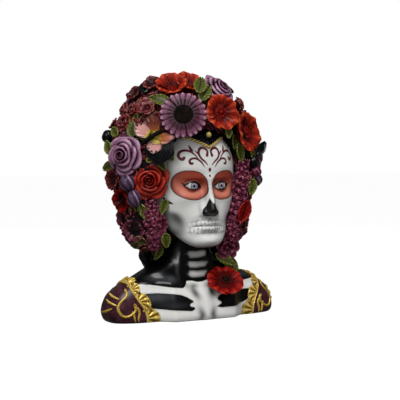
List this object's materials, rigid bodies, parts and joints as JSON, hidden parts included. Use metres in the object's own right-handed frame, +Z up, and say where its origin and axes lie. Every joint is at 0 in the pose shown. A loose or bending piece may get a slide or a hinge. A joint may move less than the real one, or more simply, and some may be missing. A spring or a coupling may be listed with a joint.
{
  "type": "sugar-skull lady bust",
  "caption": "Cast-resin bust of a lady in sugar-skull face paint, with painted bones on the neck and chest, a crown of flowers and a flat underside.",
  "frame": {"origin": "on the flat underside, below the middle of the whole bust's box", "axes": "+Z up; the lady faces -Y; her own left side is +X"},
  "size_m": [0.2052, 0.1428, 0.2659],
  "materials": {
    "painted_resin": "hand-painted cast resin, satin",
    "bone_paint": "off-white, grey and gloss-black paint of the face, neck and chest",
    "eye_paint": "gloss-varnished painted eyes",
    "hair_paint": "gloss blue-black",
    "sleeve_paint": "dark burgundy, satin",
    "gold_paint": "antique gold paint with a dark wash",
    "red_paint": "red petals, satin, with a dark wash",
    "purple_paint": "purple and lilac petals with a dark wash",
    "wine_paint": "wine and plum petals with pink edges",
    "leaf_paint": "olive-green leaves with a dark wash",
    "black_paint": "gloss black leaves and berries"
  },
  "bodies": {
    "root": {"bust": "painted_resin"}
  },
  "joints": []
}
